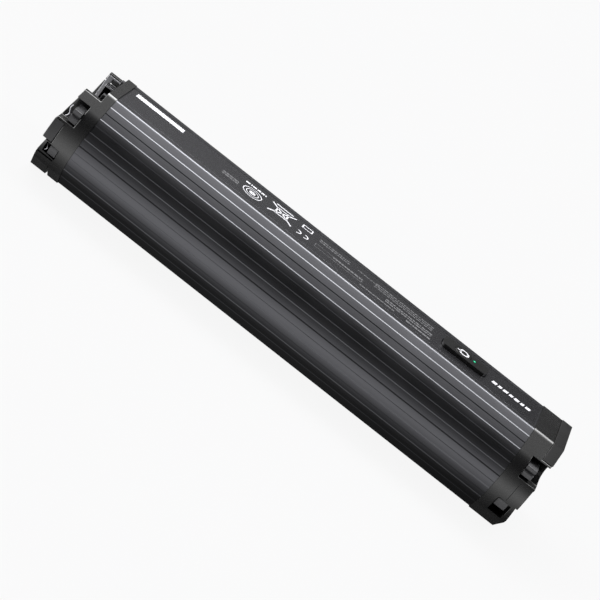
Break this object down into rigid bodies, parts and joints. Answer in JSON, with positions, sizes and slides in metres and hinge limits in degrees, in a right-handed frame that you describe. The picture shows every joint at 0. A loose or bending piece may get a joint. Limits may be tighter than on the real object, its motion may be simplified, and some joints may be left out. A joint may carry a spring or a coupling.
{
  "type": "battery pack",
  "caption": "In-tube lithium-ion battery pack: a ribbed dark aluminium extrusion with black end caps, side latch pockets, an end connector and a power button.",
  "frame": {"origin": "middle of the pack's footprint, on the plane it rests on", "axes": "+X along the length from the connector end to the closed end, +Y to the left, +Z out of the label face"},
  "size_m": [0.3684, 0.0878, 0.0693],
  "materials": {
    "anodised_aluminium": "satin anodised, dark graphite grey",
    "bare_aluminium": "milled",
    "matte_black_plastic": "fine moulded grain",
    "gloss_black_plastic": "semi-gloss moulded",
    "grey_plastic": "satin moulded",
    "steel": "zinc plated",
    "nickel": "nickel plated strip",
    "brass": "plated contact",
    "rubber": "matte",
    "label_film": "satin printed film",
    "white_sticker": "paper label",
    "circuit_board": "solder mask",
    "cell_wrap": "shrink sleeve",
    "holder_plastic": "moulded",
    "fuse_body": "moulded",
    "light_pipe": "clear moulded, green lit",
    "black_wire": "wire insulation",
    "red_wire": "wire insulation"
  },
  "bodies": {
    "pack": {"battery_management_board": "circuit_board", "catch_plate_left": "steel", "catch_plate_right": "steel", "cell_string_01": "cell_wrap", "cell_string_02": "cell_wrap", "cell_string_03": "cell_wrap", "cell_string_04": "cell_wrap", "cell_string_05": "cell_wrap", "cell_string_06": "cell_wrap", "cell_string_07": "cell_wrap", "cell_string_08": "cell_wrap", "cell_string_09": "cell_wrap", "cell_string_10": "cell_wrap", "connector_seal": "rubber", "connector_shell": "gloss_black_plastic", "data_contact_a": "brass", "data_contact_b": "brass", "extruded_housing": "anodised_aluminium", "front_busbar": "nickel", "front_cell_holder": "holder_plastic", "front_end_cap": "matte_black_plastic", "front_gasket": "rubber", "front_lower_latch_block_left": "grey_plastic", "front_lower_latch_block_right": "grey_plastic", "front_screw_lower_left": "steel", "front_screw_lower_right": "steel", "front_screw_upper_left": "steel", "front_screw_upper_right": "steel", "front_upper_latch_block_left": "grey_plastic", "front_upper_latch_block_right": "grey_plastic", "guide_tab_left": "grey_plastic", "guide_tab_right": "grey_plastic", "indicator_board": "circuit_board", "label_film": "label_film", "led_light_pipe": "light_pipe", "lock_striker_plate": "steel", "main_fuse": "fuse_body", "middle_cell_holder": "holder_plastic", "mosfet_heat_spreader": "bare_aluminium", "pack_return_lead": "black_wire", "power_contact_minus": "brass", "power_contact_plus": "brass", "rear_busbar": "nickel", "rear_cell_holder": "holder_plastic", "rear_end_cap": "matte_black_plastic", "rear_end_cover": "matte_black_plastic", "rear_gasket": "rubber", "rear_lower_latch_block_left": "grey_plastic", "rear_lower_latch_block_right": "grey_plastic", "rear_screw_lower_left": "steel", "rear_screw_lower_right": "steel", "rear_screw_upper_left": "steel", "rear_screw_upper_right": "steel", "rear_upper_latch_block_left": "grey_plastic", "rear_upper_latch_block_right": "grey_plastic", "serial_sticker": "white_sticker", "signal_harness": "red_wire", "switch_bezel": "gloss_black_plastic", "tact_switch": "steel"},
    "button": {"power_button": "gloss_black_plastic"}
  },
  "joints": [
    {"name": "power_button_press", "type": "slide", "parent": "pack", "child": "button", "axis": [0, 0, -1], "range_m": [0, 0.0008], "stiffness_N_per_m": 1500, "springref_m": -0.0003}
  ]
}
